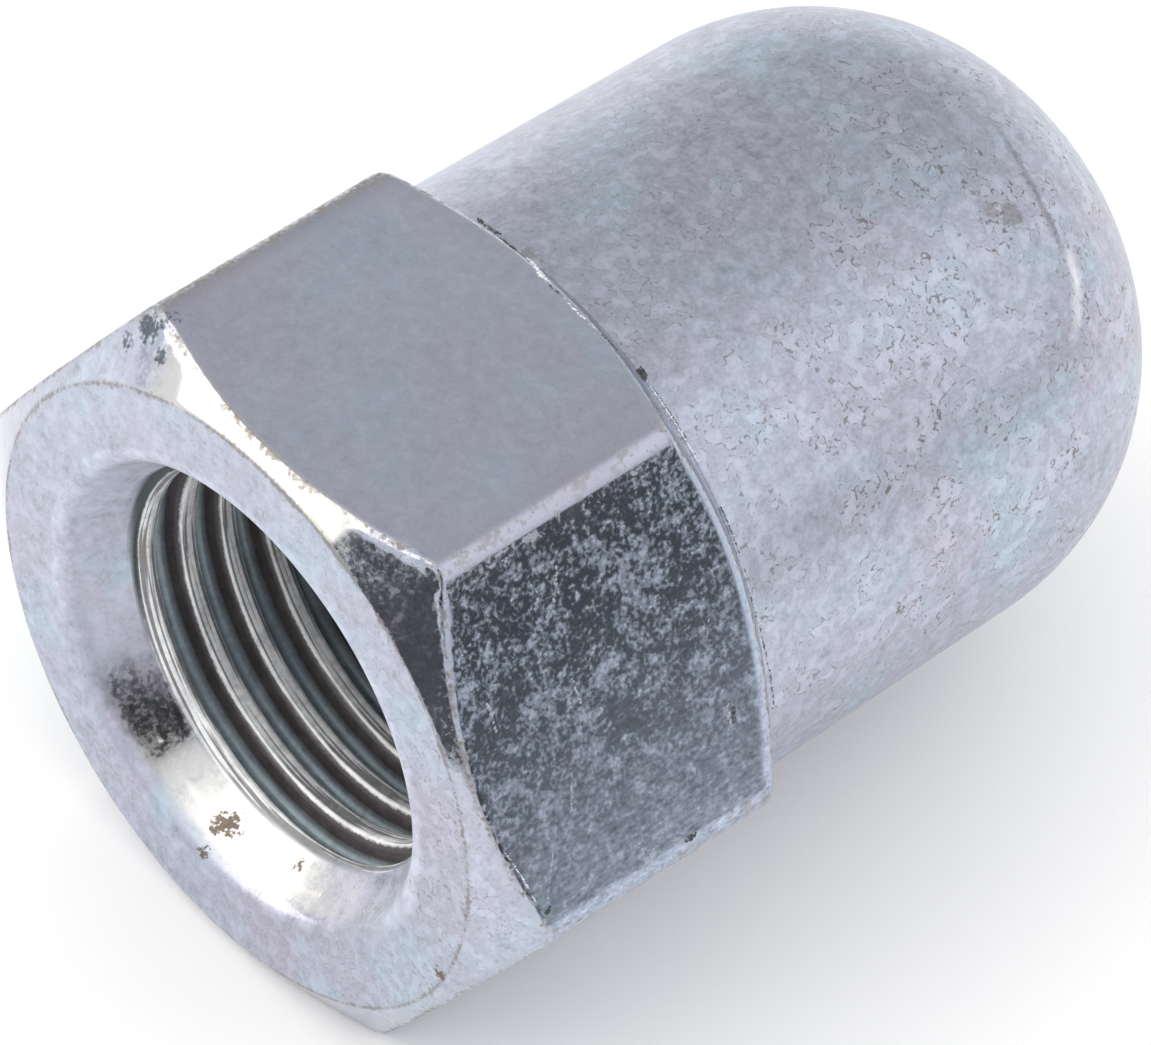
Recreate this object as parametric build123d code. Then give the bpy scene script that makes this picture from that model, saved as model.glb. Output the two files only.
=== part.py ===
from build123d import *
import os
from math import atan2, cos, degrees, hypot, radians, sqrt, tan

# Domed cap nut: a hexagon with a blind threaded hole, and a tall closed barrel with a round end.
# Its axis is the X axis. The bearing face lies on X = 0 and faces -X, and the dome points to +X.
# Two of the six flats face +Z and -Z, and the nut lies on the lower one.
# All sizes are in millimetres.

# Hexagon
FLAT_COUNT = 6
ACROSS_FLATS = 21.0
HEX_LENGTH = 11.3
HEX_EDGE_RADIUS = 0.85
# How far inside the flats the bearing face and the foot of the barrel end
BEARING_FACE_INSET = 0.5
BARREL_INSET = 0.65
FRONT_CHAMFER_ANGLE = 34.0
BACK_CHAMFER_ANGLE = 33.0

# Barrel and dome. The barrel's radius shrinks by the taper from end to end.
BARREL_LENGTH = 11.5
BARREL_TAPER = 0.2
# The dome is two arcs. Against the barrel's end radius, the shoulder's is less and the crown's is more.
SHOULDER_ARC_LESS = 1.4
CROWN_ARC_MORE = 0.85

# Blind hole. Its wall is at the crests of an M14 x 1.5 thread, and the grooves aren't cut.
CREST_DIAMETER = 12.54
DRILL_POINT_ANGLE = 118.0
END_WALL = 5.2
COUNTERSINK_WIDTH = 1.28
COUNTERSINK_ANGLE = 60.0
COUNTERSINK_LIP_RADIUS = 0.6

# How far a cutter starts outside the face that it cuts
CUTTER_OVERRUN = 1.0
# Slack for finding an edge by where it lies
EDGE_SLACK = 0.01

# Worked out from the sizes above
FLAT_RADIUS = ACROSS_FLATS / 2
CORNER_RADIUS = FLAT_RADIUS / cos(radians(180 / FLAT_COUNT))
BEARING_RADIUS = FLAT_RADIUS - BEARING_FACE_INSET
BARREL_ROOT_RADIUS = FLAT_RADIUS - BARREL_INSET
BARREL_END_RADIUS = BARREL_ROOT_RADIUS - BARREL_TAPER
# The crown's centre lies on the axis, at the place where the crown runs smoothly into the shoulder
DOME_START = HEX_LENGTH + BARREL_LENGTH
SHOULDER_RADIUS = BARREL_END_RADIUS - SHOULDER_ARC_LESS
CROWN_RADIUS = BARREL_END_RADIUS + CROWN_ARC_MORE
CROWN_SETBACK = sqrt((CROWN_RADIUS - SHOULDER_RADIUS) ** 2 - SHOULDER_ARC_LESS**2)
CROWN_CENTRE = DOME_START - CROWN_SETBACK
CROWN_HALF_ANGLE = degrees(atan2(SHOULDER_ARC_LESS, CROWN_SETBACK))
LENGTH = CROWN_CENTRE + CROWN_RADIUS
CREST_RADIUS = CREST_DIAMETER / 2
DRILL_POINT_LENGTH = CREST_RADIUS / tan(radians(DRILL_POINT_ANGLE / 2))
HOLE_DEPTH = LENGTH - END_WALL - DRILL_POINT_LENGTH
COUNTERSINK_RADIUS = CREST_RADIUS + COUNTERSINK_WIDTH
COUNTERSINK_SLOPE = tan(radians(COUNTERSINK_ANGLE / 2))
COUNTERSINK_DEPTH = COUNTERSINK_WIDTH / COUNTERSINK_SLOPE


def turned(*points):
    """Solid of revolution about the X axis, from points given as (place along X, radius)."""
    return revolve(Plane.XZ * make_face(Polyline(*points, close=True)), Axis.X)


def hexagon_bar():
    """Bar with six flats and rounded long edges, one flat up and one down."""
    outline = RegularPolygon(FLAT_RADIUS, FLAT_COUNT, major_radius=False)
    outline = fillet(outline.vertices(), HEX_EDGE_RADIUS)
    return extrude(Plane.YZ * outline, HEX_LENGTH)


def chamfered_disc():
    """Disc that the hexagon is trimmed to: a cone at each end takes the corners off."""
    front_depth = (CORNER_RADIUS - BEARING_RADIUS) * tan(radians(FRONT_CHAMFER_ANGLE))
    back_depth = (CORNER_RADIUS - BARREL_ROOT_RADIUS) * tan(radians(BACK_CHAMFER_ANGLE))
    return turned(
        (0, 0),
        (0, BEARING_RADIUS),
        (front_depth, CORNER_RADIUS),
        (HEX_LENGTH - back_depth, CORNER_RADIUS),
        (HEX_LENGTH, BARREL_ROOT_RADIUS),
        (HEX_LENGTH, 0),
    )


def hexagon_head():
    """The hexagon, with its corners taken off by the cones at both ends."""
    return hexagon_bar() & chamfered_disc()


def barrel():
    """Slightly tapered barrel, closed by a dome of two arcs: a shoulder and a flatter crown."""
    overlap = HEX_LENGTH / 2
    side = Polyline(
        (CROWN_CENTRE, 0),
        (overlap, 0),
        (overlap, BARREL_ROOT_RADIUS),
        (HEX_LENGTH, BARREL_ROOT_RADIUS),
        (DOME_START, BARREL_END_RADIUS),
    )
    shoulder_turn = CROWN_HALF_ANGLE - 90
    shoulder = CenterArc((DOME_START, SHOULDER_ARC_LESS), SHOULDER_RADIUS, 90, shoulder_turn)
    crown = CenterArc((CROWN_CENTRE, 0), CROWN_RADIUS, 0, CROWN_HALF_ANGLE)
    axis_line = Line(crown @ 0, side @ 0)
    return revolve(Plane.XZ * make_face([*side.edges(), shoulder, crown, axis_line]), Axis.X)


def drilled_hole():
    """Cutter for the blind hole, with the cone that the drill's point leaves."""
    return turned(
        (-CUTTER_OVERRUN, 0),
        (-CUTTER_OVERRUN, CREST_RADIUS),
        (HOLE_DEPTH, CREST_RADIUS),
        (HOLE_DEPTH + DRILL_POINT_LENGTH, 0),
    )


def countersink():
    """Cutter for the wide cone at the mouth of the hole."""
    overrun_radius = COUNTERSINK_RADIUS + CUTTER_OVERRUN * COUNTERSINK_SLOPE
    return turned(
        (-CUTTER_OVERRUN, 0),
        (-CUTTER_OVERRUN, overrun_radius),
        (COUNTERSINK_DEPTH, CREST_RADIUS),
        (COUNTERSINK_DEPTH, 0),
    )


def is_mouth_edge(edge):
    """True for the circle where the countersink meets the bearing face."""
    point = edge @ 0.5
    radius = hypot(point.Y, point.Z)
    return abs(point.X) < EDGE_SLACK and abs(radius - COUNTERSINK_RADIUS) < EDGE_SLACK


def cap_nut():
    """The whole nut, which is one piece."""
    nut = hexagon_head() + barrel() - drilled_hole() - countersink()
    return fillet(nut.edges().filter_by(is_mouth_edge), COUNTERSINK_LIP_RADIUS)


os.makedirs("parts", exist_ok=True)
nut = cap_nut()
nut.label = "cap_nut"
export_step(nut, "parts/cap_nut.step")
print(f"cap_nut: {nut.volume:.0f} cubic mm, {nut.bounding_box().size.X:.2f} mm long")
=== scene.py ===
# %% [markdown]
# # A domed cap nut in worn zinc plating
#
# This is a lesson in making one hard, shiny, used piece of hardware. The nut is a hexagon with a
# threaded hole in one end and a tall closed barrel with a round end. It lies on one of its flats,
# and its axis runs along X. The frame loaded here holds the nut as a plain solid at its real size.
# Everything below dresses that solid: the piece stays inside the solid's box, and gains the thread's
# grooves, soft rims, small dents, torn burrs, scratches, caked dirt, the worn plating, and some
# painted highlights and painted shade.

# %% Load the solid that everything is fitted to
import bpy
from math import atan2, cos, radians, sin, tan
from random import Random
from mathutils import Matrix, Vector
from mathutils.bvhtree import BVHTree


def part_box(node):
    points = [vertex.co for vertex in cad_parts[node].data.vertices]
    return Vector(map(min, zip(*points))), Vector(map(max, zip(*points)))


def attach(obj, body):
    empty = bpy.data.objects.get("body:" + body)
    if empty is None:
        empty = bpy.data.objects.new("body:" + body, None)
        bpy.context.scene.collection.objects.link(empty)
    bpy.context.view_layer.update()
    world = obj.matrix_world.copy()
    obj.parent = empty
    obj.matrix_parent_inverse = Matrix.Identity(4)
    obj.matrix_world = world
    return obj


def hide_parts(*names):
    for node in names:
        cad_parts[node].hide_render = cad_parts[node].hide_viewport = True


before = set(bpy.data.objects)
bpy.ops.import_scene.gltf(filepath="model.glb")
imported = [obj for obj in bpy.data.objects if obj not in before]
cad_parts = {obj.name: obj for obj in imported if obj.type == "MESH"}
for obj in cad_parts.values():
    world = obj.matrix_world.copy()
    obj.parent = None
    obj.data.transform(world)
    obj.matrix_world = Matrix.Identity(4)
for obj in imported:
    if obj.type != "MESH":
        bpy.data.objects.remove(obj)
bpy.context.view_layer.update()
MM = 0.001
NUT_LOW, NUT_HIGH = (Vector(corner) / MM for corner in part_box("cap_nut"))
print("The nut's box in mm:", [round(v, 3) for v in (*NUT_LOW, *NUT_HIGH)])

# %% [markdown]
# ## The camera
#
# A long lens looks down at the open end and the near side together, and is rolled so that the nut's
# axis climbs to the upper right. The aim, the distance, the two angles and the roll are set apart
# from each other, as on a tripod, so each can be changed without touching the others.

# %% Stand the camera up
# The aim, the distance, the lens and the sensor are in millimetres
CAMERA_AIM = Vector((12.423, -0.714, -0.524))
CAMERA_DISTANCE = 345.3
CAMERA_AZIMUTH = radians(-47.725)
CAMERA_ELEVATION = radians(49.363)
CAMERA_ROLL = radians(8.06)
LENS = 375.698
SENSOR_WIDTH = 36.0

def camera_axes(azimuth, elevation, roll):
    """The camera's right, up and backward directions, as the columns of a matrix."""
    back = Vector((sin(azimuth) * cos(elevation), -cos(azimuth) * cos(elevation), sin(elevation)))
    level_right = Vector((cos(azimuth), sin(azimuth), 0))
    level_up = back.cross(level_right)
    right = cos(roll) * level_right + sin(roll) * level_up
    up = cos(roll) * level_up - sin(roll) * level_right
    return Matrix((right, up, back)).transposed()

camera = bpy.data.objects.new("camera", bpy.data.cameras.new("camera"))
camera.data.lens = LENS
camera.data.sensor_width = SENSOR_WIDTH
camera.data.clip_start = 0.01
camera.data.clip_end = 20.0
axes = camera_axes(CAMERA_AZIMUTH, CAMERA_ELEVATION, CAMERA_ROLL)
camera_place = (CAMERA_AIM + CAMERA_DISTANCE * axes.col[2]) * MM
camera.matrix_world = Matrix.Translation(camera_place) @ axes.to_4x4()
bpy.context.scene.collection.objects.link(camera)
bpy.context.scene.camera = camera
bpy.context.scene.view_settings.view_transform = "Standard"
print("Camera at", [round(v, 4) for v in camera_place])

# %% [markdown]
# ## Node trees as sums
#
# Both the nut's shape and its finish are worked out by nodes. Long sums are hard to read as lists
# of nodes and links, so this small class lets a node's output be added and multiplied like a
# number. Each sum still makes ordinary Math nodes, in shape trees and in materials alike.

# %% Sums with node outputs
class Field:
    """A node's output that can be used in a sum."""

    def __init__(self, socket):
        self.socket = socket
        self.tree = socket.id_data

    def sum(self, operation, *others, **settings):
        """A Math node that starts from this value."""
        return make_field(self.tree, "ShaderNodeMath", (self, *others), operation=operation, **settings)

    def __add__(self, other):
        return self.sum("ADD", other)

    def __sub__(self, other):
        return self.sum("SUBTRACT", other)

    def __rsub__(self, other):
        return make_field(self.tree, "ShaderNodeMath", (other, self), operation="SUBTRACT")

    def __mul__(self, other):
        return self.sum("MULTIPLY", other)

    def __truediv__(self, other):
        return self.sum("DIVIDE", other)

    def __rtruediv__(self, other):
        return make_field(self.tree, "ShaderNodeMath", (other, self), operation="DIVIDE")

    __radd__ = __add__
    __rmul__ = __mul__

    def clamped(self):
        """The same value, kept between 0 and 1."""
        return self.sum("ADD", 0.0, use_clamp=True)

def plug(tree, target, value):
    """Link a field or socket to an input, or set the input to a plain value."""
    if isinstance(value, Field):
        value = value.socket
    if isinstance(value, bpy.types.NodeSocket):
        tree.links.new(value, target)
    else:
        target.default_value = value

def make_node(tree, kind, inputs=(), **settings):
    """Add a node. Inputs are values in order, or a dict by the input's name."""
    node = tree.nodes.new(kind)
    for name, value in settings.items():
        setattr(node, name, value)
    pairs = inputs.items() if isinstance(inputs, dict) else enumerate(inputs)
    for key, value in pairs:
        plug(tree, node.inputs[key], value)
    return node

def make_field(tree, kind, inputs=(), output=0, **settings):
    """Add a node and return one of its outputs, ready for a sum."""
    return Field(make_node(tree, kind, inputs, **settings).outputs[output])

def split(tree, vector):
    """The three parts of a vector."""
    node = make_node(tree, "ShaderNodeSeparateXYZ", (vector,))
    return [Field(node.outputs[axis]) for axis in "XYZ"]

def joined(tree, x, y, z):
    """A vector from its three parts."""
    return make_field(tree, "ShaderNodeCombineXYZ", (x, y, z))

def scaled(vector, factor):
    """A vector or a colour, times a number."""
    return make_field(vector.tree, "ShaderNodeVectorMath", {0: vector, "Scale": factor}, operation="SCALE")

def distance_between(place, other):
    """How far two places lie apart."""
    settings = {"output": "Value", "operation": "DISTANCE"}
    return make_field(place.tree, "ShaderNodeVectorMath", (place, other), **settings)

print("Sums are ready")

# %% [markdown]
# ## The turned outline
#
# A nut like this starts as a bar in a lathe. The tool follows one outline: from the point that the
# drill left deep inside, out along the hole, over the countersink and the bearing face, up the
# front chamfer, along the bar, down the back chamfer, along the barrel and over the dome. Each point
# of the outline holds the radius of its own corner, how closely the line after it is divided, and
# whether that line is the thread's wall.
#
# The line of the thread's wall runs on past the countersink by one pitch, because the tap's turns
# are slanted, and what runs out of the wall is cut off later.

# %% List the outline's points
# All in millimetres. The solid's sizes, then those of the thread.
FLAT_COUNT = 6
HALF_SECTOR = radians(180 / FLAT_COUNT)
ACROSS_FLATS = 2 * NUT_HIGH.z
FLAT_RADIUS = ACROSS_FLATS / 2
CORNER_RADIUS = FLAT_RADIUS / cos(HALF_SECTOR)
HEX_LENGTH = 11.3
HEX_EDGE_RADIUS = 0.85
BEARING_RADIUS = 10.0
BARREL_ROOT_RADIUS = 9.85
BARREL_END_RADIUS = 9.65
DOME_START = 22.8
SHOULDER_CENTRE_RADIUS = 1.4
CROWN_RADIUS = 10.5
CREST_RADIUS = 6.27
COUNTERSINK_RADIUS = 7.55
COUNTERSINK_ANGLE = radians(60)
COUNTERSINK_SLOPE = tan(COUNTERSINK_ANGLE / 2)
END_WALL = 5.2
DRILL_POINT_ANGLE = radians(118)
DRILL_POINT = NUT_HIGH.x - END_WALL
BORE_END = DRILL_POINT - CREST_RADIUS / tan(DRILL_POINT_ANGLE / 2)
FRONT_CHAMFER = radians(34)
BACK_CHAMFER = radians(33)

THREAD_PITCH = 1.5
THREAD_DEPTH = 0.73
THREAD_TURNS = 13
ROWS_PER_PITCH = 12
# Where the countersink is just wider than the thread's root, so the whole first turn lies beyond it.
# A crest begins here at the seam, which puts the crests where the real nut has them.
THREAD_START = 0.875
THREAD_END = THREAD_START + THREAD_TURNS * THREAD_PITCH

def dome_points(steps=26):
    """Points of the dome, from the end of the barrel to the tip: a shoulder arc, then the crown."""
    crown_centre = NUT_HIGH.x - CROWN_RADIUS
    meeting = atan2(SHOULDER_CENTRE_RADIUS, DOME_START - crown_centre)
    shoulder = (DOME_START, SHOULDER_CENTRE_RADIUS, BARREL_END_RADIUS - SHOULDER_CENTRE_RADIUS)
    crown = (crown_centre, 0.0, CROWN_RADIUS)
    points = []
    for step in range(steps + 1):
        angle = radians(90) * (1 - step / steps)
        centre_x, centre_radius, arc = shoulder if angle > meeting else crown
        points.append((centre_x + arc * cos(angle), centre_radius + arc * sin(angle)))
    return points

# The bar is turned a little past the hexagon's corners, so that the milling alone shapes them
BAR_SPARE = 0.6
BAR_RADIUS = CORNER_RADIUS + BAR_SPARE
front_depth = (BAR_RADIUS - BEARING_RADIUS) * tan(FRONT_CHAMFER)
back_depth = (BAR_RADIUS - BARREL_ROOT_RADIUS) * tan(BACK_CHAMFER)
WALL_STEP = THREAD_PITCH / ROWS_PER_PITCH
# Each row: place along the axis, radius, corner radius, spacing after it, and 1 on the thread's wall
OUTLINE = [
    (DRILL_POINT, 0.0, 0.0, 0.9, 0),
    (BORE_END, CREST_RADIUS, 0.25, 0.9, 0),
    (THREAD_END, CREST_RADIUS, 0.0, WALL_STEP, 1),
    (THREAD_START - THREAD_PITCH, CREST_RADIUS, 0.0, 5.0, 1),
    (THREAD_START, COUNTERSINK_RADIUS - THREAD_START * COUNTERSINK_SLOPE, 0.0, 0.12, 0),
    (0.0, COUNTERSINK_RADIUS, 0.6, 0.3, 0),
    (0.0, BEARING_RADIUS, 0.38, 0.09, 0),
    (front_depth, BAR_RADIUS, 0.0, 0.3, 0),
    (HEX_LENGTH - back_depth, BAR_RADIUS, 0.0, 0.09, 0),
    (HEX_LENGTH, BARREL_ROOT_RADIUS, 0.16, 0.45, 0),
    *((*point, 0.0, 1.0, 0) for point in dome_points()),
]
outline_mesh = bpy.data.meshes.new("turned_outline")
outline_mesh.from_pydata(
    [(x * MM, 0, radius * MM) for x, radius, *_ in OUTLINE],
    [(i, i + 1) for i in range(len(OUTLINE) - 1)],
    [],
)
for column, name in ((2, "corner_radius"), (3, "spacing"), (4, "wall")):
    scale = 1.0 if name == "wall" else MM
    values = outline_mesh.attributes.new(name, "FLOAT", "POINT").data
    for i, row in enumerate(OUTLINE):
        values[i].value = row[column] * scale
nut = bpy.data.objects.new("zinc_plated_cap_nut", outline_mesh)
bpy.context.scene.collection.objects.link(nut)
print("The outline has", len(OUTLINE), "points")

# %% [markdown]
# ## Lathe, mill and tap in one tree
#
# The nut's whole surface follows a rule, so Geometry Nodes make it as one closed skin. A grid has a
# row for each point of the outline and a column for each angle round the axis, with the columns
# close together at the hexagon's six edges.
#
# 1. Lathe: each row takes its radius from the outline.
# 2. Mill: outside, the radius is held down to the hexagon's. A smooth minimum does it, so the place
#    where a flat cuts a chamfer gets the soft edge that tumbling and plating leave.
# 3. Tap: on the thread's wall each row slides along the axis by one pitch in a turn, and the groove
#    is added to its radius. The countersink is a largest-of, and the groove fades out at the end.
#
# Merge by Distance then closes the seam and both poles. Small random dents only ever go inwards.

# %% Name the tree's inputs
LATHE_INPUTS = {
    "Across Flats": ACROSS_FLATS * MM,
    "Edge Radius": HEX_EDGE_RADIUS * MM,
    "Front Softness": 0.17 * MM,
    "Back Softness": 0.75 * MM,
    "Crest Radius": CREST_RADIUS * MM,
    "Countersink Radius": COUNTERSINK_RADIUS * MM,
    "Thread Pitch": THREAD_PITCH * MM,
    "Thread Depth": THREAD_DEPTH * MM,
    "Thread Start": THREAD_START * MM,
    "Thread End": THREAD_END * MM,
    "Lead In": 0.9 * MM,
    "Run Out": 1.3 * THREAD_PITCH * MM,
    "Dent Depth": 0.05 * MM,
    "Seed": 4.0,
}
# Columns at each corner, which lie within the spread on both sides of it, and across each flat
CORNER_STEPS, FLAT_STEPS = 14, 20
CORNER_SPREAD = radians(2.6)
# The angle round the axis at which the columns start and end
SEAM = radians(90)

def start_tree(name, numbers):
    """A Geometry Nodes tree with a geometry input, number inputs and a material input."""
    tree = bpy.data.node_groups.new(name, "GeometryNodeTree")
    sockets = {"Geometry": tree.interface.new_socket("Geometry", socket_type="NodeSocketGeometry")}
    for label, value in numbers.items():
        sockets[label] = tree.interface.new_socket(label, socket_type="NodeSocketFloat")
        sockets[label].default_value = value
    sockets["Material"] = tree.interface.new_socket("Material", socket_type="NodeSocketMaterial")
    tree.interface.new_socket("Geometry", in_out="OUTPUT", socket_type="NodeSocketGeometry")
    return tree, sockets

lathe, lathe_sockets = start_tree("lathe_mill_and_tap", LATHE_INPUTS)
lathe_in = lathe.nodes.new("NodeGroupInput")
size = {name: Field(lathe_in.outputs[name]) for name in LATHE_INPUTS}
print("Tree inputs:", ", ".join(LATHE_INPUTS))

# %% Divide the outline and lay out the grid
def named(tree, name):
    """Read a number that is kept by name on the points."""
    return make_field(tree, "GeometryNodeInputNamedAttribute", {"Name": name}, data_type="FLOAT")

def length_to_next(tree):
    """The distance from each point of a line to the one after it."""
    place = make_field(tree, "GeometryNodeInputPosition")
    following = make_field(tree, "GeometryNodeInputIndex") + 1.0
    inputs = {"Index": following, "Value": place}
    ahead = make_field(tree, "GeometryNodeFieldAtIndex", inputs, data_type="FLOAT_VECTOR")
    return distance_between(ahead, place)

outline_curve = make_field(lathe, "GeometryNodeMeshToCurve", {"Mesh": lathe_in.outputs["Geometry"]})
fillet_inputs = {"Curve": outline_curve, "Radius": named(lathe, "corner_radius"), "Count": 5}
soft_curve = make_field(lathe, "GeometryNodeFilletCurve", fillet_inputs, mode="POLY")
# The hair over one whole cut keeps rounding from adding a row
cuts = (length_to_next(lathe) / named(lathe, "spacing") - 1.001).sum("CEIL").sum("MAXIMUM", 0.0)
rows_curve = make_field(lathe, "GeometryNodeSubdivideCurve", {"Curve": soft_curve, "Cuts": cuts})
count_settings = {"component": "CURVE", "output": "Point Count"}
rows = make_field(lathe, "GeometryNodeAttributeDomainSize", {"Geometry": rows_curve}, **count_settings)
COLUMNS = FLAT_COUNT * (CORNER_STEPS + FLAT_STEPS)
grid_inputs = {"Size X": 1.0, "Size Y": 1.0, "Vertices X": COLUMNS + 1, "Vertices Y": rows}
grid = make_field(lathe, "GeometryNodeMeshGrid", grid_inputs)
grid_x, grid_y, _ = split(lathe, make_field(lathe, "GeometryNodeInputPosition"))
row = ((grid_y + 0.5) * (rows - 1.0)).sum("ROUND")

def of_row(value, kind):
    """A value of the outline's point that belongs to this row."""
    inputs = {"Geometry": rows_curve, "Value": value, "Index": row}
    return make_field(lathe, "GeometryNodeSampleIndex", inputs, data_type=kind)

row_place = of_row(make_field(lathe, "GeometryNodeInputPosition"), "FLOAT_VECTOR")
row_x, _, row_radius = split(lathe, row_place)
on_wall = of_row(named(lathe, "wall"), "FLOAT").sum("GREATER_THAN", 0.999)
print("The skin has", COLUMNS, "columns")

# %% Lathe and mill
# From this far along the axis, and over this length, the cuts go from the front's softness to the
# back's, in millimetres
SOFTER_FROM, SOFTER_OVER = 5.0, 3.0

sector = (grid_x + 0.5) * FLAT_COUNT
from_corner = sector.sum("FRACT") * 2.0 - 1.0
split_at = CORNER_STEPS / (CORNER_STEPS + FLAT_STEPS)
near = (from_corner.sum("ABSOLUTE") / split_at).sum("MINIMUM", 1.0) * CORNER_SPREAD
far = (from_corner.sum("ABSOLUTE") - split_at).sum("MAXIMUM", 0.0) / (1 - split_at)
corner_angle = near + far * (HALF_SECTOR - CORNER_SPREAD)
corner_at = (sector.sum("FLOOR") + 0.5) * (2 * HALF_SECTOR)
turn_angle = corner_at + corner_angle * from_corner.sum("SIGN")
angle = turn_angle + SEAM

half_flats = size["Across Flats"] * 0.5
flat_radius = half_flats / (HALF_SECTOR - corner_angle).sum("COSINE")
# A long edge is an arc about a centre that lies inside the corner
arc_centre = (half_flats - size["Edge Radius"]) / cos(HALF_SECTOR)
arc_touch = HALF_SECTOR - (arc_centre * sin(HALF_SECTOR)).sum("ARCTAN2", half_flats)
arc_side = arc_centre * corner_angle.sum("SINE")
arc_reach = (size["Edge Radius"] * size["Edge Radius"] - arc_side * arc_side).sum("MAXIMUM", 0.0).sum("SQRT")
arc_radius = arc_centre * corner_angle.sum("COSINE") + arc_reach
on_edge = corner_angle.sum("LESS_THAN", arc_touch)
hexagon_radius = flat_radius + on_edge * (arc_radius - flat_radius)
at_back = ((row_x - SOFTER_FROM * MM) / (SOFTER_OVER * MM)).clamped()
softness = size["Front Softness"] + at_back * (size["Back Softness"] - size["Front Softness"])
milled_radius = row_radius.sum("SMOOTH_MIN", hexagon_radius, softness)
print("Flats of", round(ACROSS_FLATS, 3), "mm across, milled from a bar of radius", round(BAR_RADIUS, 3))

# %% Tap the thread
# Parts of one pitch: a flat crest, a flank, a narrow root and the other flank
CREST, FLANK = 4 / 12, 3 / 12
# Two pitches more keep the part of a pitch above zero, and the hair over keeps it off its jump
SPARE_PITCHES = 2.00001
# The grooves begin after this share of the lead-in
LEAD_IN_DELAY = 0.4

whole_turns = turn_angle / radians(360)
slid_x = row_x + size["Thread Pitch"] * whole_turns
wall_x = slid_x.sum("MAXIMUM", size["Thread Start"]).sum("MINIMUM", size["Thread End"])
pitch_part = ((row_x - size["Thread Start"]) / size["Thread Pitch"] + SPARE_PITCHES).sum("FRACT")
rising = (pitch_part - CREST) / FLANK
falling = (1.0 - pitch_part) / FLANK
groove = rising.sum("MINIMUM", falling).clamped()
fade = ((size["Thread End"] - wall_x) / size["Run Out"]).clamped()
lead_in = ((wall_x - size["Thread Start"]) / size["Lead In"] - LEAD_IN_DELAY).clamped()
groove_depth = groove * fade * lead_in * size["Thread Depth"]
cone_radius = size["Countersink Radius"] - wall_x * COUNTERSINK_SLOPE
wall_radius = (size["Crest Radius"] + groove_depth).sum("MAXIMUM", cone_radius)

def choose(switch, if_true, if_false):
    """One of two numbers, by a switch that is 0 or 1."""
    return if_false + switch * (if_true - if_false)

skin_x = choose(on_wall, wall_x, row_x)
skin_radius = choose(on_wall, wall_radius, milled_radius)
skin_place = joined(lathe, skin_x, skin_radius * angle.sum("COSINE"), skin_radius * angle.sum("SINE"))
print("Thread of", THREAD_PITCH, "mm pitch,", THREAD_TURNS, "turns")

# %% Store what the finish needs to know
# How far the marks reach, in millimetres
MILLED_FADE = 0.3
CUT_REACH = 0.45
RIM_REACH = 0.3
MOUTH_RADIUS, MOUTH_LENGTH = 8.05, 1.5
FACE_LENGTH, RIM_LENGTH = 0.04, 0.4
FIRST_GROOVE, GROOVE_FADE = 1.68, 0.12
LINE_RADIUS = 12.0
EDGE_SPREAD = radians(5.0)

past_cut = row_radius - hexagon_radius
taken_off = (past_cut / (MILLED_FADE * MM)).clamped() * (1.0 - on_wall)
edge_nearness = (1.0 - corner_angle / EDGE_SPREAD).clamped() * taken_off
cut_nearness = (1.0 - past_cut.sum("ABSOLUTE") / (CUT_REACH * MM)).clamped() * (1.0 - on_wall)
near_front = row_x.sum("LESS_THAN", MOUTH_LENGTH * MM)
turned_front = (row_x.sum("GREATER_THAN", FACE_LENGTH * MM) * near_front) * (1.0 - taken_off)
in_mouth = row_radius.sum("LESS_THAN", MOUTH_RADIUS * MM) * near_front
rim_nearness = (1.0 - (row_radius - BEARING_RADIUS * MM).sum("ABSOLUTE") / (RIM_REACH * MM)).clamped()
rim_nearness = rim_nearness * row_x.sum("LESS_THAN", RIM_LENGTH * MM)
past_mouth = ((wall_x - FIRST_GROOVE * MM) / (GROOVE_FADE * MM)).clamped()
# The flank that faces the mouth is the last part of a pitch, which is counted in twelfths here
front_flank = ((pitch_part * 12.0 - 9.9) / 0.4).clamped()
line_nearness = cut_nearness * row_radius.sum("LESS_THAN", LINE_RADIUS * MM)
# Each mark is 0 to 1. An edge is any soft edge, and an edge line is one where dirt gathers.
KEPT = {
    "groove": groove * fade * past_mouth * on_wall,
    "front_flank": front_flank * past_mouth * on_wall,
    "mouth": choose(on_wall, 1.0 - past_mouth, in_mouth),
    "polish": turned_front * (1.0 - on_wall) * (1.0 - in_mouth),
    "thread_wall": on_wall,
    "milled": taken_off,
    "edge": edge_nearness.sum("MAXIMUM", cut_nearness),
    "edge_line": line_nearness.sum("MAXIMUM", rim_nearness),
}

def keep(geometry, name, value):
    """The same geometry, with a number kept by name on its points."""
    inputs = {"Geometry": geometry, "Name": name, "Value": value}
    return make_field(lathe, "GeometryNodeStoreNamedAttribute", inputs)

skin = grid
for name, value in KEPT.items():
    skin = keep(skin, name, value)
MERGE_DISTANCE = 0.0005 * MM
skin = make_field(lathe, "GeometryNodeSetPosition", {"Geometry": skin, "Position": skin_place})
skin = make_field(lathe, "GeometryNodeMergeByDistance", {"Geometry": skin, "Distance": MERGE_DISTANCE})
print("Kept on the skin:", ", ".join(KEPT))

# %% Keep the slow patterns and press small dents
def object_mm(tree):
    """Places on the piece in millimetres, in a shape tree or a material."""
    if tree.bl_idname == "GeometryNodeTree":
        places = make_field(tree, "GeometryNodeInputPosition")
    else:
        places = make_field(tree, "ShaderNodeTexCoord", output="Object")
    return scaled(places, 1.0 / MM)

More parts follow.
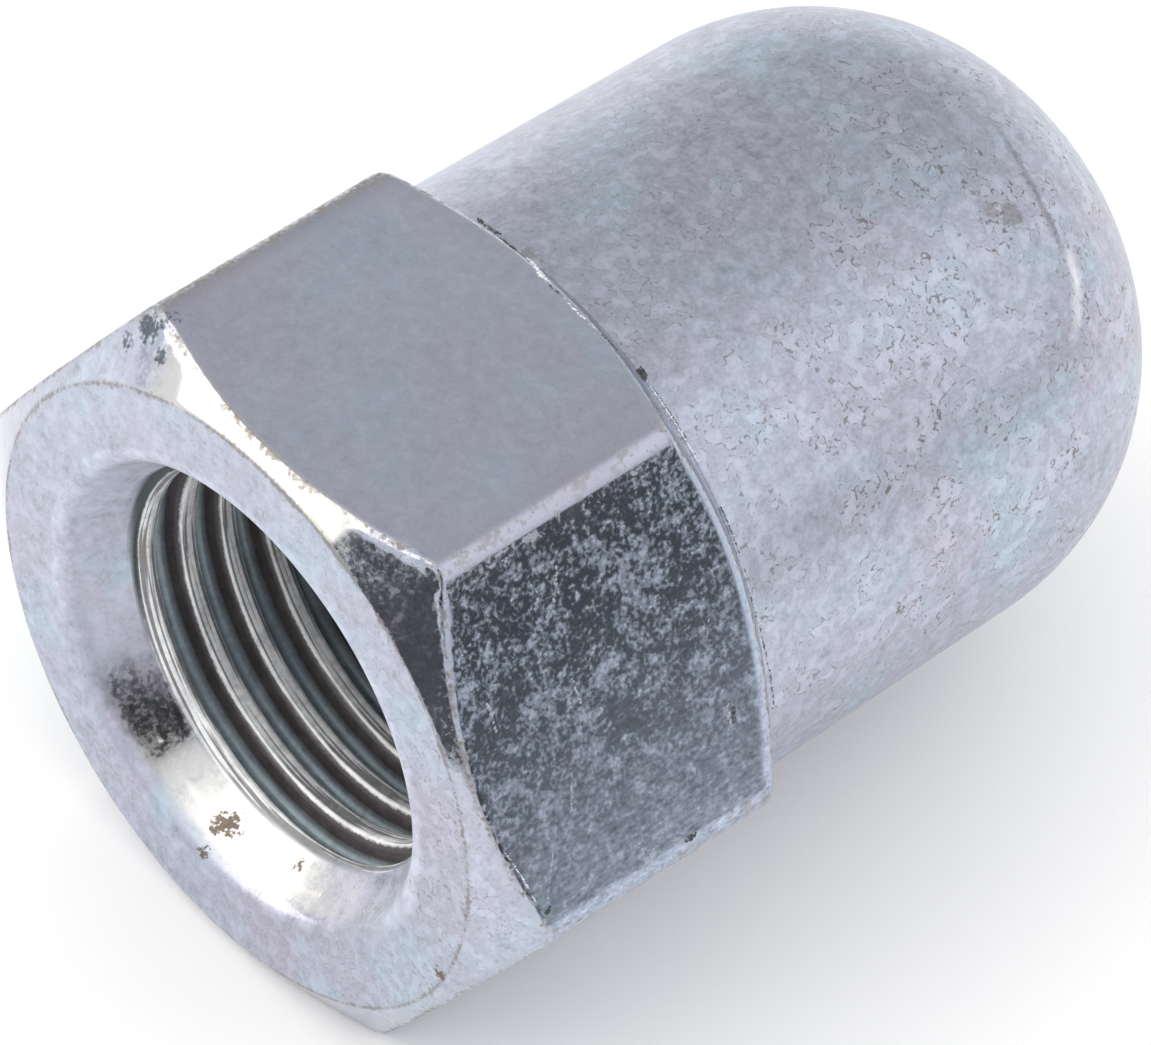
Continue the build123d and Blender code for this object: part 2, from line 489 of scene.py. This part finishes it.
def noise(tree, size_mm, detail=1.0, roughness=0.5, shift=0.0, coords=None):
    """Noise from 0 to 1 whose features are about size_mm across. Shift moves it to fresh ground."""
    offset = joined(tree, shift, shift * 0.37, 0.0)
    moved = make_field(tree, "ShaderNodeVectorMath", (coords or object_mm(tree), offset), operation="ADD")
    inputs = {"Vector": moved, "Scale": 1.0 / size_mm, "Detail": detail, "Roughness": roughness}
    return make_field(tree, "ShaderNodeTexNoise", inputs)

# Patterns this slow don't need a point for each pixel, so the tree works them out once.
# Each has a size in millimetres, a detail and a shift.
SLOW_PATTERNS = {"clouds": (5.0, 3.0, 11.0), "patches": (2.6, 3.0, 23.0), "crowding": (1.5, 3.0, 31.0)}
for name, (size_mm, detail, shift) in SLOW_PATTERNS.items():
    pattern = noise(lathe, size_mm, detail, 0.6, shift=shift + size["Seed"])
    skin = keep(skin, name, pattern)

# Dents lie at the edges, where the noise is high, and the rest is a little wavy
dent_mask = ((noise(lathe, 1.1, 2.0, shift=7.0 + size["Seed"]) - 0.62) * 6.0).clamped()
waviness = noise(lathe, 4.0, shift=3.0 + size["Seed"]) * 0.35
outside = 1.0 - named(lathe, "thread_wall")
inwards = (dent_mask * named(lathe, "edge") + waviness) * outside * size["Dent Depth"] * -1.0
skin_normal = make_field(lathe, "GeometryNodeInputNormal")
dent = scaled(skin_normal, inwards)
skin = make_field(lathe, "GeometryNodeSetPosition", {"Geometry": skin, "Offset": dent})
skin = make_field(lathe, "GeometryNodeSetShadeSmooth", {"Geometry": skin})
skin = make_field(lathe, "GeometryNodeRealizeInstances", {"Geometry": skin})
skin_finish = {"Geometry": skin, "Material": lathe_in.outputs["Material"]}
make_node(lathe, "NodeGroupOutput", (make_field(lathe, "GeometryNodeSetMaterial", skin_finish),))
print("The tree has", len(lathe.nodes), "nodes")

# %% [markdown]
# ## The plating
#
# Bright zinc is a thin bluish metal skin over steel. On a real nut it is never even: it is smooth
# like a mirror on the chamfers, satin on the barrel, and dotted with tiny matt pimples. Spanners rub
# strokes into the flats, the lathe leaves a ring on the dome, and handling adds short dark
# squiggles, brown grime along the edges, smudges and a few spots of rust. Each could be a material
# of its own, but the plating is one skin, so one material holds all of it, and the marks kept by
# the tree say where each finish belongs. Each pattern is measured in millimetres on Object
# coordinates.
# Some of the colour is painted light: highlights on a chamfer, low in the countersink and on the dome's
# ring, and shade deep in the hole and in its first groove.

# %% Start the plating material
def new_material(name):
    """A material with nodes, its tree and its main shader."""
    material = bpy.data.materials.new(name)
    material.use_nodes = True
    return material, material.node_tree, material.node_tree.nodes["Principled BSDF"]

def mark(tree, name):
    """A number that the shape tree kept on the skin."""
    return make_field(tree, "ShaderNodeAttribute", output="Fac", attribute_name=name)

def ramp(value, low, high):
    """0 at low and 1 at high, with a straight slope between. Low may be the greater one."""
    return ((value - low) / (high - low)).clamped()

def mix(tree, amount, first, second):
    """A colour between two colours."""
    node = tree.nodes.new("ShaderNodeMix")
    node.data_type = "RGBA"
    plug(tree, node.inputs[0], amount)
    plug(tree, node.inputs[6], first)
    plug(tree, node.inputs[7], second)
    return Field(node.outputs[2])

plating, zinc, shader = new_material("zinc_plating")
here = object_mm(zinc)
here_x, here_y, here_z = split(zinc, here)
MARKS = ("groove", "front_flank", "thread_wall", "milled", "edge", "edge_line", "polish", "mouth")
groove_mark, flank_mark, wall_mark, milled_mark, edge_mark, line_mark, polish_mark, mouth_mark = (
    mark(zinc, name) for name in MARKS
)
clouds, patches, crowding = (mark(zinc, name) for name in SLOW_PATTERNS)
print("Marks read:", ", ".join(MARKS))

# %% Say where each finish belongs
# A ramp on here_x, here_y or here_z runs between two places in millimetres
on_thread = wall_mark * (1.0 - mouth_mark)
off_thread = 1.0 - on_thread
on_barrel = ramp(here_x, 10.9, 11.6)
on_face = ramp(here_x, 0.1, 0.02)
on_left = ramp(here_y, -2.0, 1.0)
on_side = milled_mark * ramp(here_z, 10.3, 9.6)
# The chamfer beside the upper flat gets a painted highlight between its two ends
chamfer_highlight_band = polish_mark * ramp(here_y, -3.9, -2.9) * ramp(here_y, 5.2, 4.2) * ramp(here_z, 7.0, 8.0)
# The lowest part of the countersink gets a painted highlight
mouth_highlight = mouth_mark * ramp(here_z, -4.8, -6.2) * ramp(here_x, 0.2, 0.5)
# The side flats are rubbed more and more towards their lower ends
rubbed = ramp(here_z, 8.0, 1.0) * milled_mark
# Few marks show on the flats and under the painted highlights on the chamfer band and in the mouth
marks_show = 1.0 - (milled_mark * 0.6 + chamfer_highlight_band * 0.9 + mouth_highlight * 0.7).clamped()
print("Finishes placed")

# %% Colour of the bare plating
BLUE_ZINC = (0.47, 0.505, 0.605, 1)
PINK_ZINC = (0.485, 0.48, 0.585, 1)
CYAN_ZINC = (0.44, 0.52, 0.61, 1)
SIDE_FLAT_ZINC = (0.36, 0.43, 0.545, 1)
HIGHLIGHT_ZINC = (0.72, 0.715, 0.695, 1)
tinted = mix(zinc, ramp(clouds, 0.42, 0.62), BLUE_ZINC, PINK_ZINC)
tinted = mix(zinc, ramp(patches, 0.50, 0.68), tinted, CYAN_ZINC)
# The side flats are bluer and darker than the upper flat
tinted = mix(zinc, on_side * 0.7, tinted, SIDE_FLAT_ZINC)
# Painted highlights: the chamfer band and the lowest part of the countersink are paler, without the blue
# tint
zinc_colour = mix(zinc, (chamfer_highlight_band + mouth_highlight) * 0.8, tinted, HIGHLIGHT_ZINC)
print("Bare zinc tinted")

# %% Pimples: matt dots where the plating grew rough
grain = noise(zinc, 0.15, detail=2.0, roughness=0.6, shift=37.0, coords=here)
flecks = noise(zinc, 0.44, detail=1.0, shift=41.0, coords=here)
dot_height = grain * 0.65 + flecks * 0.35 + (crowding - 0.5) * 0.4 + mouth_mark * 0.06
pimples = ramp(dot_height, 0.46, 0.66) * (1.0 - chamfer_highlight_band * 0.9)
print("Pimples placed")

# %% Strokes: rubbing marks along the flats
# Strokes to a millimetre, which are more across the nut's axis than along it
STROKES_PER_MM = (3.0, 7.0, 7.0)
along = make_field(zinc, "ShaderNodeVectorMath", (here, STROKES_PER_MM), operation="MULTIPLY")
stroke_inputs = {"Vector": along, "Scale": 1.0, "Detail": 3.0, "Roughness": 0.75}
strokes = (make_field(zinc, "ShaderNodeTexNoise", stroke_inputs) - 0.5) * rubbed
print("Strokes rubbed in")

# %% Squiggles: short dark worm marks
# They lie closer together towards the dome and the far side
crowded_far = ramp(here_x * 0.6 - here_y + clouds * 14.0, 6.0, 26.0)
worm_line = ramp((flecks - 0.5).sum("ABSOLUTE"), 0.05, 0.02)
worm_line = worm_line * ramp(grain, 0.48, 0.58) * ramp(crowding, 0.42, 0.56)
pits = ramp(grain + (crowding - 0.5) * 0.35, 0.64, 0.78)
worm_amount = worm_line.sum("MAXIMUM", pits) * (crowded_far * 0.85 + 0.2) * marks_show * off_thread
print("Squiggles drawn")

# %% The hole: turned crests with fine tool lines, and painted shade in the first groove and deeper in
# One pitch of the thread is wrapped round a ring, so the lines don't break between two turns. Each
# turn still has one small step in its lines, on the wall at -Y, where its angle starts again.
LINES_ACROSS, LINES_ALONG = 2.4, 9.0
thread_turn = here_z.sum("ARCTAN2", here_y) / radians(360)
tool_place = (here_x / THREAD_PITCH - thread_turn).sum("FRACT") * radians(360)
ring_y, ring_z = tool_place.sum("COSINE") * LINES_ACROSS, tool_place.sum("SINE") * LINES_ACROSS
tool_ring = joined(zinc, ring_y, ring_z, thread_turn * LINES_ALONG)
tool_lines = make_field(zinc, "ShaderNodeTexNoise", {"Vector": tool_ring, "Scale": 1.0, "Detail": 2.0})
CREST_METAL = (0.90, 0.91, 0.93, 1)
WORN_METAL = (0.27, 0.27, 0.28, 1)
ROOT_METAL = (0.40, 0.49, 0.53, 1)
FLANK_METAL = (0.075, 0.065, 0.07, 1)
FIRST_GROOVE_SHADE = (0.05, 0.065, 0.065, 1)
DEEP_HOLE_SHADE = (0.12, 0.12, 0.12, 1)
off_crest = ramp(groove_mark + (grain - 0.5) * 0.25, 0.02, 0.16)
worn_crest = ramp(tool_lines + ramp(here_x, 2.8, 2.2) * -0.05, 0.50, 0.42)
crest_colour = mix(zinc, worn_crest, CREST_METAL, WORN_METAL)
groove_colour = mix(zinc, ramp(flank_mark, 0.0, 0.3), ROOT_METAL, FLANK_METAL)
# Painted shade: the first groove beside the countersink is nearly black
groove_colour = mix(zinc, ramp(here_x, 2.5, 1.9), groove_colour, FIRST_GROOVE_SHADE)
bright_thread = mix(zinc, off_crest, crest_colour, groove_colour)
# Painted shade: the thread grows darker deeper into the hole
thread_colour_and_shade = mix(zinc, ramp(here_x, 5.0, 16.0), bright_thread, DEEP_HOLE_SHADE)
print("Thread coloured")

# %% Spots of rust, smudges and stains
def spots(places, ragged):
    """1 at a few places of the plating, given as (x, y, z, radius) in mm, with ragged edges."""
    total = None
    for x, y, z, radius in places:
        gap = distance_between(here, (x, y, z)) / radius
        one = ramp(gap + (ragged - 0.5) * 3.0, 1.0, 0.6)
        total = one if total is None else total.sum("MAXIMUM", one)
    return total

RUST_PLACES = [
    (0.9, 0.54, -6.9, 0.42),
    (0.7, 0.75, -7.05, 0.3),
    (1.2, -2.08, -6.3, 0.26),
    (0.03, 0.56, -7.6, 0.22),
    (0.0, -9.32, -3.18, 0.25),
]
SMUDGE_PLACES = [
    (1.05, 5.85, 9.85, 0.5),
    (1.35, 5.35, 10.2, 0.35),
    (0.6, 4.9, 9.8, 0.25),
    (0.6, 6.4, 9.1, 0.3),
]
STAIN_PLACES = [
    (24.5, -4.7, 8.2, 0.4),
    (24.0, -4.4, 8.5, 0.3),
    (11.4, 1.5, 9.8, 0.4),
]
rust = spots(RUST_PLACES, grain)
stains = spots(STAIN_PLACES, flecks * 0.5 + grain * 0.5)
smudges = spots(SMUDGE_PLACES, grain * 0.7 + 0.15)
print(len(RUST_PLACES), "rust spots,", len(SMUDGE_PLACES), "smudges and", len(STAIN_PLACES), "stains")

# %% A ring left on the dome by the turning: a dark line at first, then a painted highlight
ring_gap = (here_x - here_y * 0.152 - 26.51).sum("ABSOLUTE") + (grain - 0.5) * 0.3
dark_ends = ramp(here_y, -1.5, -3.5) * ramp(here_y, -6.2, -5.9) * ramp(here_z, 5.0, 6.0)
dark_ring = ramp(ring_gap, 0.16, 0.05) * dark_ends
# The ring's bright stretch is a painted highlight
ring_bend = here_y + 6.0
bright_gap = (here_x + ring_bend * ring_bend * 0.4 - 25.76).sum("ABSOLUTE") + (grain - 0.5) * 0.5
bright_ends = ramp(here_y, -5.7, -6.4) * ramp(here_y, -7.9, -7.2) * ramp(here_z, 3.0, 4.0)
ring_highlight = ramp(bright_gap, 0.3, 0.06) * bright_ends
print("Ring turned")

# %% Grime and dirt along the edges
edge_dirt = ramp(line_mark + (grain - 0.5) * 1.2 + (crowding - 0.5) * 1.5, 0.76, 1.04) * off_thread
far_edge = edge_mark * ramp(here_y, 5.3, 5.9) * ramp(here_z, 9.0, 9.8) * ramp(grain, 0.30, 0.50)
edge_dirt = edge_dirt.sum("MAXIMUM", stains * 0.7).sum("MAXIMUM", far_edge)
grime = ramp(grain * 0.5 + flecks * 0.5 + edge_mark * 0.10, 0.56, 0.68)
grime = grime * (0.15 + edge_mark * 0.85) * off_thread
print("Grime gathered")

# %% Lay the colours over each other
WORM_GREY = (0.20, 0.19, 0.195, 1)
GRIME_BROWN = (0.30, 0.27, 0.24, 1)
DIRT_BROWN = (0.27, 0.24, 0.21, 1)
RING_DARK = (0.2, 0.2, 0.24, 1)
RING_HIGHLIGHT = (0.80, 0.82, 0.86, 1)
SMUDGE_BLACK = (0.06, 0.075, 0.085, 1)
RUST_BROWN = (0.17, 0.12, 0.08, 1)
LAYERS = [
    (worm_amount, WORM_GREY),
    (grime * 0.5, GRIME_BROWN),
    (edge_dirt * 0.65, DIRT_BROWN),
    (dark_ring * 0.6, RING_DARK),
    (ring_highlight * 0.8, RING_HIGHLIGHT),
    (smudges * 0.8, SMUDGE_BLACK),
    (on_thread, thread_colour_and_shade),
]
skin_colour = zinc_colour
for amount, layer in LAYERS:
    skin_colour = mix(zinc, amount, skin_colour, layer)
mottling = (grain - 0.5) * 0.7 + (flecks - 0.5) * 0.6 + (crowding - 0.5) * 0.5 + (patches - 0.5) * 0.2
skin_colour = scaled(skin_colour, mottling * marks_show + strokes * 1.8 + 1.0)
skin_colour = mix(zinc, rust * 0.85, skin_colour, RUST_BROWN)
plug(zinc, shader.inputs["Base Color"], skin_colour)
print("Layers of colour:", len(LAYERS) + 1)

# %% Gloss and relief
scuffed_mouth = mouth_mark * ramp(here_z, -5.5, -1.5)
worn_lip = mouth_mark * ramp(here_x, 0.5, 0.25) * on_left
# How matt it is: 0 would be a mirror
MOST_MATT = 0.7
matt = 0.11 + on_barrel * 0.25 + on_face * 0.16
matt = matt + pimples * (1.0 - rubbed * 0.6) * 0.18 * (1.0 - on_barrel)
matt = matt + rubbed * 0.05 - polish_mark * 0.05 + on_thread * (0.40 - off_crest * 0.14)
matt = matt + rust * 0.4 + grime * 0.2 + edge_dirt * 0.25 + scuffed_mouth * 0.3 + worn_lip * 0.3
plug(zinc, shader.inputs["Roughness"], matt.sum("MINIMUM", MOST_MATT))
# Cutting oil and oxide dull the hole, and scuffs the countersink
plug(zinc, shader.inputs["Metallic"], 1.0 - on_thread * 0.65 - scuffed_mouth * 0.75)

# The tool lines stand this high, in millimetres
TOOL_LINE_HEIGHT = 0.016
height = on_thread * tool_lines * TOOL_LINE_HEIGHT
relief_inputs = {"Strength": 1.0, "Distance": MM, "Height": height}
relief = make_field(zinc, "ShaderNodeBump", relief_inputs, output="Normal")
plug(zinc, shader.inputs["Normal"], relief)
print("The plating has", len(zinc.nodes), "nodes")

# %% Run the tree and keep its result as a plain mesh
def make_plain(item, tree, values):
    """Run a tree on an object with these input values, and keep what it makes as a plain mesh."""
    modifier = item.modifiers.new(tree.name, "NODES")
    modifier.node_group = tree
    for socket, value in values:
        modifier[socket.identifier] = value
    bpy.context.view_layer.update()
    graph = bpy.context.evaluated_depsgraph_get()
    made = bpy.data.meshes.new_from_object(item.evaluated_get(graph), depsgraph=graph)
    item.modifiers.remove(modifier)
    item.data = made
    return made

lathe_values = [(lathe_sockets[name], value) for name, value in LATHE_INPUTS.items()]
skin_mesh = make_plain(nut, lathe, [*lathe_values, (lathe_sockets["Material"], plating)])
skin_mesh.name = "zinc_plated_cap_nut"
triangles = sum(len(face.vertices) - 2 for face in skin_mesh.polygons)
print("The skin has", len(skin_mesh.vertices), "points and", triangles, "triangles")

# %% [markdown]
# ## Burrs, scratches, caked dirt and painted shade
#
# Thin torn slivers of bare zinc stand up along the back edge of the hexagon, and dark beads beside
# them are painted shade in the crease there. A few more dark beads of dirt lie low on the side flat.
# Scratches with raised lips cross the flat that faces the camera. A drawn line of colour would catch
# no light, and the skin's own columns are far too wide for them, so each line is a row of tiny beads,
# sunk into the skin by most of a radius. Noise breaks the rows up and makes each bead a different
# size.

# %% Bead tree
BEAD_INPUTS = {"Gaps": 0.42, "Gap Size": 0.3, "Raggedness": 1.3, "Seed": 5.0}
beads, bead_sockets = start_tree("ragged_beads", BEAD_INPUTS)
beads_in = beads.nodes.new("NodeGroupInput")
bead = {name: Field(beads_in.outputs[name]) for name in BEAD_INPUTS}
unbroken = noise(beads, bead["Gap Size"], 2.0, shift=bead["Seed"]).sum("GREATER_THAN", bead["Gaps"])
# The features of the swelling are about as small as a bead, and its noise is apart from the gaps'
BEAD_NOISE_SIZE, APART = 0.12, 9.0
bead_noise = noise(beads, BEAD_NOISE_SIZE, shift=bead["Seed"] + APART)
swelling = (bead_noise - 0.5) * bead["Raggedness"] + 1.0
bead_radius = named(beads, "bead_radius") * swelling
chip = make_field(beads, "GeometryNodeMeshIcoSphere", {"Radius": 1.0, "Subdivisions": 1})
row_inputs = {
    "Points": beads_in.outputs["Geometry"],
    "Selection": unbroken,
    "Instance": chip,
    "Scale": joined(beads, bead_radius, bead_radius, bead_radius),
}
row_of_beads = make_field(beads, "GeometryNodeInstanceOnPoints", row_inputs)
row_of_beads = make_field(beads, "GeometryNodeRealizeInstances", {"Geometry": row_of_beads})
row_of_beads = make_field(beads, "GeometryNodeSetShadeSmooth", {"Geometry": row_of_beads})
bead_finish = {"Geometry": row_of_beads, "Material": beads_in.outputs["Material"]}
make_node(beads, "NodeGroupOutput", (make_field(beads, "GeometryNodeSetMaterial", bead_finish),))
print("Bead tree has", len(beads.nodes), "nodes")

# %% Lay the lines on the skin
# Each line: the beads' radius, then its corners, all in millimetres
BURR_LINES = [
    (0.085, (11.05, 1.3, 10.1), (10.8, 0.55, 10.4), (10.72, 0.1, 10.45)),
    (0.04, (10.66, -0.7, 10.46), (10.6, -1.45, 10.46), (10.62, -2.14, 10.44)),
    (0.04, (11.32, -3.75, 9.1), (11.33, -4.6, 8.72), (11.35, -6.05, 7.78)),
    (0.03, (0.75, -10.5, 2.85), (1.02, -10.91, 2.1), (1.24, -11.41, 1.23)),
]
SCRATCH_LINES = [
    (0.035, (3.56, -9.96, 3.76), (3.2, -10.49, 2.83)),
    (0.03, (2.65, -10.48, 2.84), (1.64, -11.48, 1.12)),
    (0.045, (4.45, -8.64, 6.03), (4.49, -9.09, 5.26)),
    (0.05, (1.58, -8.29, 6.64), (1.61, -8.74, 5.87)),
    (0.06, (5.0, -7.0, 8.87), (4.58, -7.47, 8.06)),
    (0.03, (9.41, -8.97, 5.47), (9.09, -9.27, 4.94)),
    (0.04, (5.18, -8.55, 6.19), (5.11, -8.82, 5.72)),
    (0.06, (9.16, -10.37, 3.04), (9.03, -10.73, 2.42)),
]
# The first eight lines are dark beads of painted shade in the crease where the hexagon meets the barrel, and
# the last three are dirt
DIRT_AND_SHADE_LINES = [
    (0.07, (11.6, 3.85, 9.06), (11.49, 3.25, 9.3), (11.45, 2.78, 9.45)),
    (0.10, (10.95, 2.2, 10.2), (10.84, 1.91, 10.31), (10.95, 1.6, 10.25)),
    (0.05, (10.64, -0.1, 10.44), (10.66, -0.6, 10.44)),
    (0.05, (10.62, -2.2, 10.42), (10.71, -3.25, 10.22)),
    (0.10, (11.4, -3.24, 9.3), (11.32, -3.6, 9.17)),
    (0.035, (11.36, -3.9, 9.05), (11.38, -5.4, 8.25)),
    (0.035, (11.36, -7.0, 6.9), (11.36, -8.46, 5.0)),
    (0.038, (11.3, -8.46, 5.4), (11.35, -9.03, 3.94), (11.48, -9.53, 2.47), (11.75, -9.83, 0.55)),
    (0.06, (9.32, -10.46, 2.88), (9.19, -10.67, 2.52)),
    (0.10, (1.65, -11.6, 0.9), (1.5, -11.65, 0.75)),
    (0.08, (6.9, -11.85, 0.4), (6.6, -11.9, 0.35)),
]
ALL_LINES = BURR_LINES + SCRATCH_LINES + DIRT_AND_SHADE_LINES
print(len(ALL_LINES), "lines to lay, the widest", 2 * max(radius for radius, *_ in ALL_LINES), "mm across")

# %% Helpers that lay a row of beads
skin_points = [point.co for point in skin_mesh.vertices]
skin_faces = [tuple(face.vertices) for face in skin_mesh.polygons]
skin_finder = BVHTree.FromPolygons(skin_points, skin_faces)

def bead_places(lines, gap=0.02, stray=0.8, sink=0.7, seed=6):
    """Places on the skin along each line, and each one's radius.

    The gap is in millimetres. How far a bead strays and sinks is a share of its radius.
    """
    chance = Random(seed)
    places, radii = [], []
    for radius, *corners in lines:
        for start, end in zip(corners, corners[1:]):
            start, end = Vector(start), Vector(end)
            steps = max(1, round((end - start).length / gap))
            for i in range(steps):
                off_line = Vector([chance.uniform(-stray, stray) * radius for _ in "XYZ"])
                spot, normal, _, _ = skin_finder.find_nearest((start.lerp(end, i / steps) + off_line) * MM)
                places.append(spot - normal * (sink * radius * MM))
                radii.append(radius * MM)
    return places, radii

def bead_object(name, lines, material):
    """An object whose mesh is the rows of beads along these lines."""
    places, radii = bead_places(lines)
    mesh = bpy.data.meshes.new(name)
    mesh.from_pydata(places, [], [])
    values = mesh.attributes.new("bead_radius", "FLOAT", "POINT").data
    for i, radius in enumerate(radii):
        values[i].value = radius
    item = bpy.data.objects.new(name, mesh)
    bpy.context.scene.collection.objects.link(item)
    values = [(bead_sockets[key], value) for key, value in BEAD_INPUTS.items()]
    make_plain(item, beads, [*values, (bead_sockets["Material"], material)]).name = name
    print(name, "has", len(places), "places and", len(item.data.polygons), "triangles")
    return item

print("The finder knows", len(skin_faces), "faces")

# %% Finish the burrs, scratches, dirt and painted shade
def speck_finish(name, dark, light, metallic, roughness):
    """A finish that wanders between two tones along a row of beads."""
    material, tree, speck_shader = new_material(name)
    tone = noise(tree, BEAD_NOISE_SIZE, detail=2.0, shift=53.0)
    plug(tree, speck_shader.inputs["Base Color"], mix(tree, ramp(tone, 0.35, 0.65), dark, light))
    spread = 0.3
    plug(tree, speck_shader.inputs["Roughness"], tone * spread + (roughness - spread / 2))
    speck_shader.inputs["Metallic"].default_value = metallic
    return material

bare_zinc = speck_finish("bare_zinc", (0.66, 0.68, 0.72, 1), (0.94, 0.96, 1.0, 1), 0.5, 0.4)
dull_zinc = speck_finish("dull_zinc", (0.30, 0.32, 0.37, 1), (0.42, 0.45, 0.51, 1), 0.4, 0.5)
# The dark beads take one finish, as dirt and as painted shade in the crease
dirt_and_crease_shade = speck_finish("dirt_and_crease_shade", (0.03, 0.035, 0.04, 1), (0.08, 0.08, 0.08, 1), 0.0, 0.6)
burrs = bead_object("torn_burrs", BURR_LINES, bare_zinc)
scratches = bead_object("raised_scratches", SCRATCH_LINES, dull_zinc)
dirt_and_shade = bead_object("caked_dirt_and_crease_shade", DIRT_AND_SHADE_LINES, dirt_and_crease_shade)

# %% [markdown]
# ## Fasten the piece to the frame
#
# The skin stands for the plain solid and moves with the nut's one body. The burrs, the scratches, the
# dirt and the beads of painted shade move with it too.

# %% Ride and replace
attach(nut, "root")
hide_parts("cap_nut")
for speck in (burrs, scratches, dirt_and_shade):
    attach(speck, "root")
print("Riding the root:", nut.name, burrs.name, scratches.name, dirt_and_shade.name)

# %% [markdown]
# ## Floor and light
#
# A pale table in a soft white room. Metal shows what stands round it, so the room matters more than
# the lamp does. The world is white, with a dim side behind the dome, a brighter side on the right,
# dark gaps low down past the table's edge, and the dark of the camera itself. The one lamp is a big
# warm white panel, which stands beyond the open end on the left and models the hexagon softly.

# %% Lay the floor
# The nut lies near the table's edge, so the chamfer beside the open end looks past it into the dark
FLOOR_RADIUS = 350.0
FLOOR_CENTRE = (290.0, 60.0)
FLOOR_SIDES = 96
floor_z = NUT_LOW.z * MM
floor_mesh = bpy.data.meshes.new("pale_floor")
floor_rim = []
for i in range(FLOOR_SIDES):
    turn = radians(360) * i / FLOOR_SIDES
    rim_x = FLOOR_CENTRE[0] + FLOOR_RADIUS * cos(turn)
    rim_y = FLOOR_CENTRE[1] + FLOOR_RADIUS * sin(turn)
    floor_rim.append((rim_x * MM, rim_y * MM, floor_z))
floor_mesh.from_pydata(floor_rim, [], [tuple(range(FLOOR_SIDES))])
floor = bpy.data.objects.new("pale_floor", floor_mesh)
bpy.context.scene.collection.objects.link(floor)
paper, _, paper_shader = new_material("pale_floor_paper")
paper_shader.inputs["Base Color"].default_value = (0.9, 0.9, 0.9, 1)
paper_shader.inputs["Roughness"].default_value = 0.8
floor_mesh.materials.append(paper)
print("The floor is at", round(floor_z, 4), "m")

# %% Light the room
world = bpy.data.worlds.new("studio")
world.use_nodes = True
bpy.context.scene.world = world
room = world.node_tree
toward = make_field(room, "ShaderNodeTexCoord", output="Generated")

def direction(azimuth, elevation):
    """A unit vector, by degrees from +X towards +Y and degrees above the floor."""
    a, e = radians(azimuth), radians(elevation)
    return Vector((cos(a) * cos(e), sin(a) * cos(e), sin(e)))

def patch(azimuth, elevation, inner, outer):
    """1 within inner degrees of a direction, fading to 0 at outer degrees."""
    towards = (toward, direction(azimuth, elevation))
    nearness = make_field(room, "ShaderNodeVectorMath", towards, output="Value", operation="DOT_PRODUCT")
    inputs = {"Value": nearness, "From Min": cos(radians(outer)), "From Max": cos(radians(inner))}
    return make_field(room, "ShaderNodeMapRange", inputs, interpolation_type="SMOOTHSTEP")

def low_gap(azimuth, inner, outer, top, fade):
    """1 in the dark gap past the table's edge, on one side. Top and fade are heights of a unit vector."""
    _, _, up = split(room, toward)
    inputs = {"Value": up, "From Min": top + fade, "From Max": top}
    low = make_field(room, "ShaderNodeMapRange", inputs, interpolation_type="SMOOTHSTEP")
    return low * patch(azimuth, 0, inner, outer)

# Dim behind the dome and brighter on the right, then the dark gaps and the dark of the camera
brightness = patch(41, 44, 22, 56) * -0.34 + patch(-62, 42, 12, 36) * 0.16 + 1.0
# Each dark place and how bright it is
DARK_PLACES = [
    (low_gap(-62, 34, 44, 0.025, 0.03), 0.05),
    (low_gap(-172, 22, 34, 0.158, 0.02), 0.14),
    (patch(-132, 34, 18.5, 23), 0.05),
]
for amount, level in DARK_PLACES:
    brightness = brightness + amount * (level - brightness)
# What is matt, and the camera's own view, get a plain white room
for ray, level in (("Is Diffuse Ray", 1.26), ("Is Camera Ray", 1.0)):
    brightness = brightness + make_field(room, "ShaderNodeLightPath", output=ray) * (level - brightness)
background = room.nodes["Background"]
plug(room, background.inputs["Color"], joined(room, brightness, brightness, brightness))
background.inputs["Strength"].default_value = 1.0

def soft_lamp(name, azimuth, elevation, distance, width, power, colour):
    """A square lamp that faces the nut, with its distance and width in millimetres."""
    lamp = bpy.data.objects.new(name, bpy.data.lights.new(name, "AREA"))
    lamp.data.size = width * MM
    lamp.data.energy = power
    lamp.data.color = colour
    toward_lamp = direction(azimuth, elevation)
    lamp.location = toward_lamp * distance * MM
    lamp.rotation_euler = toward_lamp.to_track_quat("Z", "Y").to_euler()
    bpy.context.scene.collection.objects.link(lamp)

soft_lamp("white_panel", 141, 30, 600, 720, 1.9, (1.0, 0.95, 0.85))
print("The room is lit")
